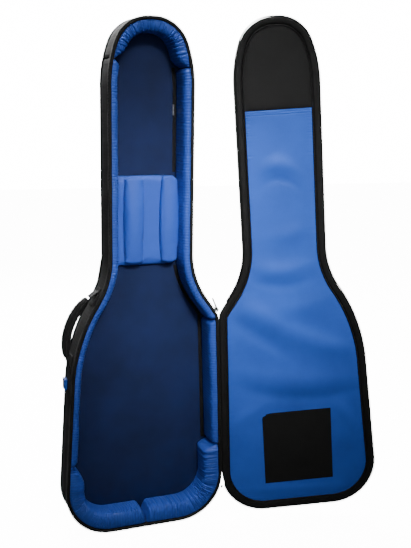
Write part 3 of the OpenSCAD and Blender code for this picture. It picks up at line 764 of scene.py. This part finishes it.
patch = {"centre": (-.012, .172), "size": (.180, .194)}
px, pz, pw, ph = *patch["centre"], *patch["size"]
scuff = panel("scuff_patch_cloth", band["inner"], pz - ph / 2, pz + ph / 2,
              lambda x, z, edge: lidIn - .0002 - .0006 * np.exp(-edge / .0015)
              - .0003 * np.exp(-((edge - .005) / .0012) ** 2), lidIn - .0022, 60, 60, scuffVinyl, swungOpen,
              xLimit=(px - pw / 2, px + pw / 2))
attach(scuff, "lid")
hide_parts("scuff_patch")

pockets = {     # inset from the outline, lowest and highest point
    "large_pocket": (.030, .064, .452),
    "small_pocket": (.022, .690, 1.010),
}
pocketThick = .009


def pocketFace(x, z, edge):
    # round at the edge, crowned outwards, slack between its seams
    slack = .0009 * np.sin(x * 40 + 3 * np.sin(z * 11)) * np.sin(z * 21)
    return lidOut - pocketThick + quarterRound(edge, .006) - .0015 * (1 - np.exp(-edge / .03)) + slack


for name, (inset, lowZ, highZ) in pockets.items():
    pocket = panel(name + "_cloth", inset, lowZ, highZ, pocketFace, lidOut + .002, 90, 60, nylon, swungOpen)
    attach(pocket, "lid")
    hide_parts(name)
print("lid done")

# shoulder straps

strap = {"top": (.034, .922), "bend": (.058, .760), "foot": (.092, .560), "halfTop": .029, "halfFoot": .033,
         "thick": .0112, "binding": .84, "rows": 90, "endRows": 26}
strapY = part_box("shoulder_strap_right")[0][1]
strapProfile = rounded([(-1, 0), (-1.005, .5), (-.93, .62), (-.84, .46), (-.55, .92), (0, 1), (.55, .92),
                        (.84, .46), (.93, .62), (1.005, .5), (1, 0), (.5, 0), (-.5, 0)], 2)


def strapGrid(side):
    # a crowned section with a rolled edge, carried along a bow from yoke to foot, where its
    # width closes in a half circle
    rows, endRows = strap["rows"], strap["endRows"]
    t = np.r_[np.linspace(0, 1, rows), np.ones(endRows)]
    close = np.r_[np.zeros(rows), np.linspace(.03, .985, endRows) * np.pi / 2]
    a, b, c = (np.array(strap[k]) for k in ("top", "bend", "foot"))
    spine = a * (1 - t)[:, None] ** 2 + b * 2 * (t * (1 - t))[:, None] + c * t[:, None] ** 2
    slope = 2 * (b - a) * (1 - t)[:, None] + 2 * (c - b) * t[:, None]
    slope /= np.linalg.norm(slope, axis=1)[:, None]
    spine = spine + slope * (strap["halfFoot"] * np.sin(close))[:, None]
    half = (strap["halfTop"] + (strap["halfFoot"] - strap["halfTop"]) * t) * np.cos(close)
    across = np.stack([-slope[:, 1], slope[:, 0]], 1)
    f, h = strapProfile[:, 0], strapProfile[:, 1]
    xz = spine[:, None] + across[:, None] * (half[:, None] * f[None])[..., None]
    rise = np.minimum(1, half / .012)[:, None]
    y = strapY + h[None] * strap["thick"] * rise + .0004 * np.sin(t * 60)[:, None] * (h > .7)
    return np.stack([xz[..., 0] * side, y, xz[..., 1]], -1)


strapRows = strap["rows"] + strap["endRows"]
for name, side in (("left", -1), ("right", 1)):
    pad = meshFromGrid("strap_pad_" + name, strapGrid(side), capped(strapRows, len(strapProfile)))
    pad.data.materials.append(strapMesh)
    pad.data.materials.append(bindingTape)
    edge = np.abs(strapProfile[:, 0]) > strap["binding"]
    index = np.r_[np.tile(edge, strapRows - 1), [False, False]].astype(np.int32)
    pad.data.polygons.foreach_set("material_index", index)
    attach(pad, "tray")
    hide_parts("shoulder_strap_" + name)
print("straps done")

# side handle grip

grip = {"centre": (-.0444, .4768), "radius": .1589, "middle": 159.5, "reach": 28.5, "thick": .0112,
        "wide": .0128, "rows": 90, "cols": 48}


def gripGrid(t, a):
    # a flattened ring carried along the handle's arc, t from -1 to 1; it thins towards both ends
    # and has a seam along its inner and outer edges
    fade = .3 + .7 * np.sqrt(np.clip(1 - np.abs(t) ** 3, 0, 1))
    seam = 1 - .05 * np.exp(-(np.sin(a) / .10) ** 2)
    radial = np.sign(np.cos(a)) * np.abs(np.cos(a)) ** .8 * grip["thick"] * fade * seam
    y = np.sign(np.sin(a)) * np.abs(np.sin(a)) ** .75 * grip["wide"] * (.55 + .45 * fade)
    turn = np.radians(grip["middle"] + t * grip["reach"])
    r = grip["radius"] + radial + .0003 * np.sin(t * 40) * np.sin(3 * a)
    x, z = grip["centre"]
    return np.stack([x + r * np.cos(turn), y + 0 * turn, z + r * np.sin(turn)], -1)


gripT, gripA = np.meshgrid(np.linspace(-1, 1, grip["rows"]),
                           np.linspace(0, 2 * np.pi, grip["cols"], endpoint=False), indexing="ij")
gripPad = meshFromGrid("side_handle_padding", gripGrid(gripT, gripA), capped(grip["rows"], grip["cols"]))
gripPad.data.materials.append(nylon)
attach(gripPad, "side_handle")
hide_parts("side_handle_grip")

# CAD pieces that keep their shape and get their finish
finishes = {
    "floor_binding": bindingTape, "zip_end_stops": gunmetal.m, "base_plate_rubber": rubber.m,
    "care_label": labelCloth.m, "side_tab": velour, "side_handle_patches": nylon,
    "side_handle_webbing": webbing, "haul_handle_patches": nylon,
    "haul_handle": webbing, "strap_yoke": nylon, "strap_webbing_left": webbing,
    "strap_webbing_right": webbing, "strap_adjuster_left": plastic.m,
    "strap_adjuster_right": plastic.m, "strap_rings": gunmetal.m, "strap_anchors": webbing,
    "hinge_fabric": nylon, "large_pocket_zip": bindingTape, "small_pocket_zip": bindingTape,
    "upper_slider": gunmetal.m, "upper_pull": darkMetal.m, "large_pocket_slider": darkMetal.m,
    "large_pocket_pull": darkMetal.m, "small_pocket_slider": darkMetal.m, "small_pocket_pull": darkMetal.m,
}
for name, material in finishes.items():
    mesh = frame["nodes"][name].data
    mesh.materials.clear()
    mesh.materials.append(material)
print("finishes done")
